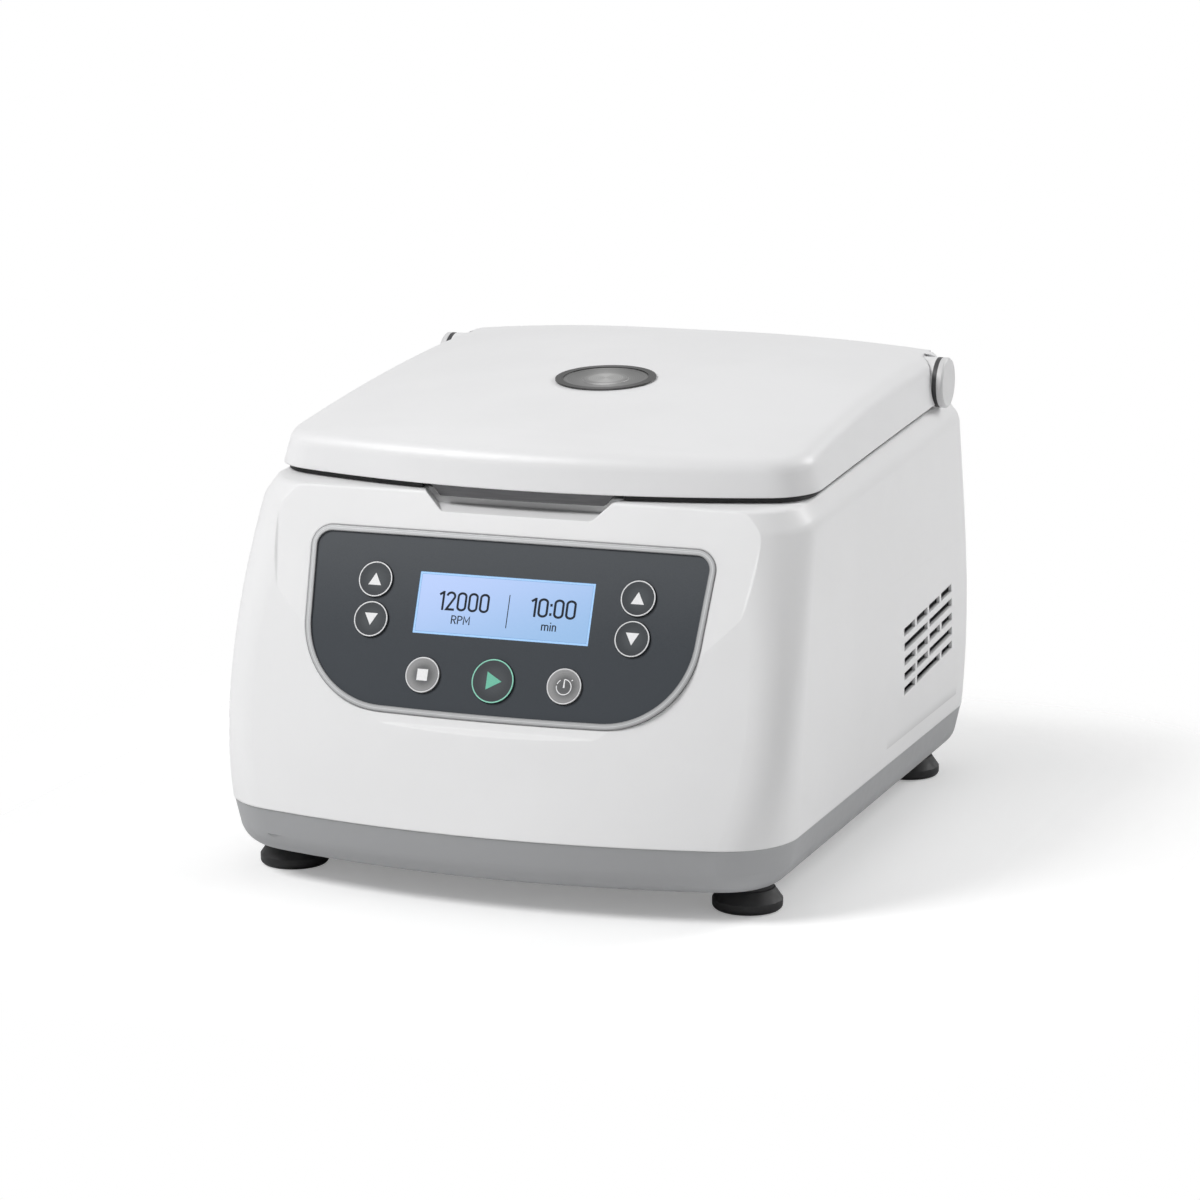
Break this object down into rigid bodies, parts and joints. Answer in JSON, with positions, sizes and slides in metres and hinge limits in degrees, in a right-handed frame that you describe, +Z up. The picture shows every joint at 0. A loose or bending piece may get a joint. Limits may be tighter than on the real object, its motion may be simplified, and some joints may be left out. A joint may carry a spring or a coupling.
{
  "type": "microplate centrifuge",
  "caption": "Bench centrifuge with a white bowed housing, sloping control panel, hinged domed lid and a rotor with two swinging plate carriers.",
  "frame": {"origin": "centre of the footprint on the surface that the feet stand on, under the rotor's axis", "axes": "+Z up along the rotor's axis, -Y towards the user and the control panel, +X to the user's right"},
  "size_m": [0.3452, 0.429, 0.28],
  "materials": {
    "white_body": "fine satin moulding",
    "white_lid": "fine satin moulding",
    "liner_white": "plain moulding",
    "grey_tray": "fine grained moulding",
    "grey_plate": "powder coat",
    "black_rubber": "matt",
    "black_plastic": "fine grained",
    "motor_black": "satin",
    "panel_slate": "satin film",
    "bezel_silver": "satin",
    "display": "lit, clear front",
    "key_slate": "satin with a bright ring",
    "key_grey": "satin with a bright ring",
    "key_green": "satin with a bright ring and green sign",
    "board_green": "lacquered",
    "steel": "satin",
    "stainless": "brushed",
    "rotor_alloy": "anodised",
    "spun_metal": "spun rings",
    "grip_metal": "dark brushed",
    "brass_pins": "plated"
  },
  "bodies": {
    "base": {"housing": "white_body", "base_tray": "grey_tray", "foot_front_left": "black_rubber", "foot_front_right": "black_rubber", "foot_rear_left": "black_rubber", "foot_rear_right": "black_rubber", "chamber_bowl": "stainless", "bowl_gasket": "black_rubber", "motor_housing": "motor_black", "motor_bearings": "steel", "motor_plate": "steel", "motor_dampers": "black_rubber", "panel_bezel": "bezel_silver", "panel_face": "panel_slate", "lcd_module": "display", "control_board": "board_green", "drive_board": "board_green", "power_supply": "steel", "rear_plate": "grey_plate", "fan_frame": "black_plastic", "fan_guard": "steel", "power_inlet": "black_plastic", "inlet_pins": "brass_pins", "switch_frame": "black_plastic", "hinge_drum_left": "white_body", "hinge_drum_right": "white_body", "hinge_cap_left": "white_lid", "hinge_cap_right": "white_lid", "hinge_pins": "steel", "latch_brackets": "steel", "latch_motor": "motor_black", "housing_screws": "steel", "rear_screws": "steel"},
    "lid": {"lid_shell": "white_lid", "lid_liner": "liner_white", "lid_seal": "black_rubber", "lid_screws": "steel", "port_ring": "spun_metal", "port_disc": "spun_metal", "grip_bar": "grip_metal", "lid_strikers": "steel", "lid_arm_left": "steel", "lid_arm_right": "steel"},
    "rotor": {"drive_shaft": "steel", "rotor_yoke": "rotor_alloy", "rotor_nut": "rotor_alloy"},
    "carrier_a_body": {"carrier_a": "stainless"},
    "carrier_b_body": {"carrier_b": "stainless"},
    "latch": {"latch_shaft": "steel", "latch_hook_left": "steel", "latch_hook_right": "steel"},
    "fan_rotor": {"fan_impeller": "black_plastic"},
    "switch_rocker": {"power_rocker": "black_plastic"},
    "key_speed_up_body": {"key_speed_up": "key_slate"},
    "key_speed_down_body": {"key_speed_down": "key_slate"},
    "key_time_up_body": {"key_time_up": "key_slate"},
    "key_time_down_body": {"key_time_down": "key_slate"},
    "key_stop_body": {"key_stop": "key_grey"},
    "key_start_body": {"key_start": "key_green"},
    "key_timer_body": {"key_timer": "key_grey"}
  },
  "joints": [
    {"name": "lid_hinge", "type": "hinge", "parent": "base", "child": "lid", "pos_m": [0.14, 0.159, 0.25497], "axis": [-1, 0, 0], "range_deg": [0, 75]},
    {"name": "rotor_spin", "type": "hinge", "parent": "base", "child": "rotor", "pos_m": [0, 0, 0.09], "axis": [0, 0, 1], "continuous": true},
    {"name": "carrier_a_swing", "type": "hinge", "parent": "rotor", "child": "carrier_a_body", "pos_m": [0.054, 0.07, 0.172], "axis": [0, -1, 0], "range_deg": [0, 90]},
    {"name": "carrier_b_swing", "type": "hinge", "parent": "rotor", "child": "carrier_b_body", "pos_m": [-0.054, 0.07, 0.172], "axis": [0, 1, 0], "range_deg": [0, 90]},
    {"name": "latch_turn", "type": "hinge", "parent": "base", "child": "latch", "pos_m": [0.115, -0.131, 0.193], "axis": [-1, 0, 0], "range_deg": [0, 25]},
    {"name": "fan_spin", "type": "hinge", "parent": "base", "child": "fan_rotor", "pos_m": [-0.062, 0.2, 0.1], "axis": [0, 1, 0], "continuous": true},
    {"name": "power_switch", "type": "hinge", "parent": "base", "child": "switch_rocker", "pos_m": [0.092, 0.208, 0.1], "axis": [1, 0, 0], "range_deg": [0, 20]},
    {"name": "key_speed_up_press", "type": "slide", "parent": "base", "child": "key_speed_up_body", "axis": [0, 0.9252, -0.3795], "range_m": [0, 0.001], "stiffness_N_per_m": 1500},
    {"name": "key_speed_down_press", "type": "slide", "parent": "base", "child": "key_speed_down_body", "axis": [0, 0.9252, -0.3795], "range_m": [0, 0.001], "stiffness_N_per_m": 1500},
    {"name": "key_time_up_press", "type": "slide", "parent": "base", "child": "key_time_up_body", "axis": [0, 0.9252, -0.3795], "range_m": [0, 0.001], "stiffness_N_per_m": 1500},
    {"name": "key_time_down_press", "type": "slide", "parent": "base", "child": "key_time_down_body", "axis": [0, 0.9252, -0.3795], "range_m": [0, 0.001], "stiffness_N_per_m": 1500},
    {"name": "key_stop_press", "type": "slide", "parent": "base", "child": "key_stop_body", "axis": [0, 0.9252, -0.3795], "range_m": [0, 0.001], "stiffness_N_per_m": 1500},
    {"name": "key_start_press", "type": "slide", "parent": "base", "child": "key_start_body", "axis": [0, 0.9252, -0.3795], "range_m": [0, 0.001], "stiffness_N_per_m": 1500},
    {"name": "key_timer_press", "type": "slide", "parent": "base", "child": "key_timer_body", "axis": [0, 0.9252, -0.3795], "range_m": [0, 0.001], "stiffness_N_per_m": 1500}
  ]
}
